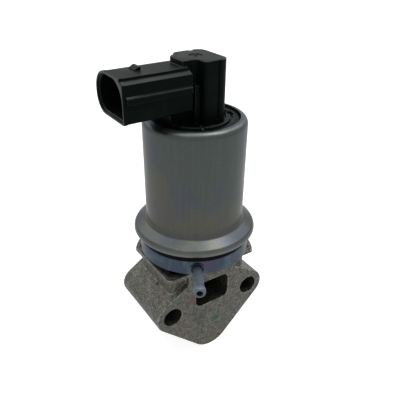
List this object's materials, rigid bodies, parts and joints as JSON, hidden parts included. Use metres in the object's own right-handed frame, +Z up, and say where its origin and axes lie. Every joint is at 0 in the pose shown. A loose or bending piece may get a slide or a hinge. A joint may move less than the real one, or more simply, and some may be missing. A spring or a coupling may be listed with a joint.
{
  "type": "exhaust gas recirculation valve",
  "caption": "Solenoid lift valve: die cast flange body with gas ports, steel can, side vent nipple and moulded sensor head with connector socket.",
  "frame": {"origin": "middle of the bolt pair on the rear flange face", "axes": "+Z up along the valve axis towards the sensor head, +Y out of the rear flange face (the inlet side), -Y out of the front face with the outlet window, -X towards the connector's mouth"},
  "size_m": [0.0602, 0.0594, 0.1282],
  "materials": {
    "cast_aluminium": "as cast, slightly rough",
    "zinc_steel_can": "dull zinc plated drawn steel",
    "blue_zinc_steel": "blue passivated zinc plating",
    "bright_steel": "machined steel",
    "dark_steel": "plain soft iron",
    "bronze": "sintered bronze",
    "copper": "enamelled copper wire",
    "tinned_brass": "tin plated",
    "black_plastic": "glass filled polyamide, satin",
    "natural_plastic": "natural polymer",
    "black_rubber": "matt",
    "gasket_fibre": "matt fibre sheet",
    "board_green": "laminate"
  },
  "bodies": {
    "valve_body": {"base_casting": "cast_aluminium", "valve_seat": "bright_steel", "stem_guide": "bronze", "deposit_shield": "bright_steel", "stem_seal": "natural_plastic", "spacer_gasket": "gasket_fibre", "vent_spacer": "blue_zinc_steel", "vent_nipple": "blue_zinc_steel", "flange_gasket": "black_rubber", "pole_piece": "dark_steel", "body_screws": "bright_steel", "solenoid_can": "zinc_steel_can", "guide_sleeve": "tinned_brass", "bobbin": "natural_plastic", "coil_winding": "copper", "yoke_ring": "dark_steel", "coil_tabs": "tinned_brass", "sensor_housing": "black_plastic", "head_seal": "black_rubber", "tower_lid": "black_plastic", "terminal_pins": "tinned_brass", "sensor_board": "board_green", "return_spring": "bright_steel", "plunger_spring": "bright_steel"},
    "valve": {"valve_disc": "bright_steel", "valve_stem": "bright_steel", "spring_seat": "bright_steel", "armature": "dark_steel", "armature_nut": "bright_steel"},
    "sensor_slider": {"sensor_plunger": "natural_plastic", "sensor_wiper": "tinned_brass"}
  },
  "joints": [
    {"name": "valve_lift", "type": "slide", "parent": "valve_body", "child": "valve", "axis": [0, 0, 1], "range_m": [-0.0045, 0], "stiffness_N_per_m": 1200, "springref_m": 0.008, "deforming": ["return_spring"]},
    {"name": "sensor_travel", "type": "slide", "parent": "valve_body", "child": "sensor_slider", "axis": [0, 0, 1], "range_m": [-0.0045, 0], "stiffness_N_per_m": 60, "springref_m": -0.02, "deforming": ["plunger_spring"]}
  ],
  "couplings": [
    {"joint": "sensor_travel", "follows": "valve_lift", "ratio": 1}
  ]
}
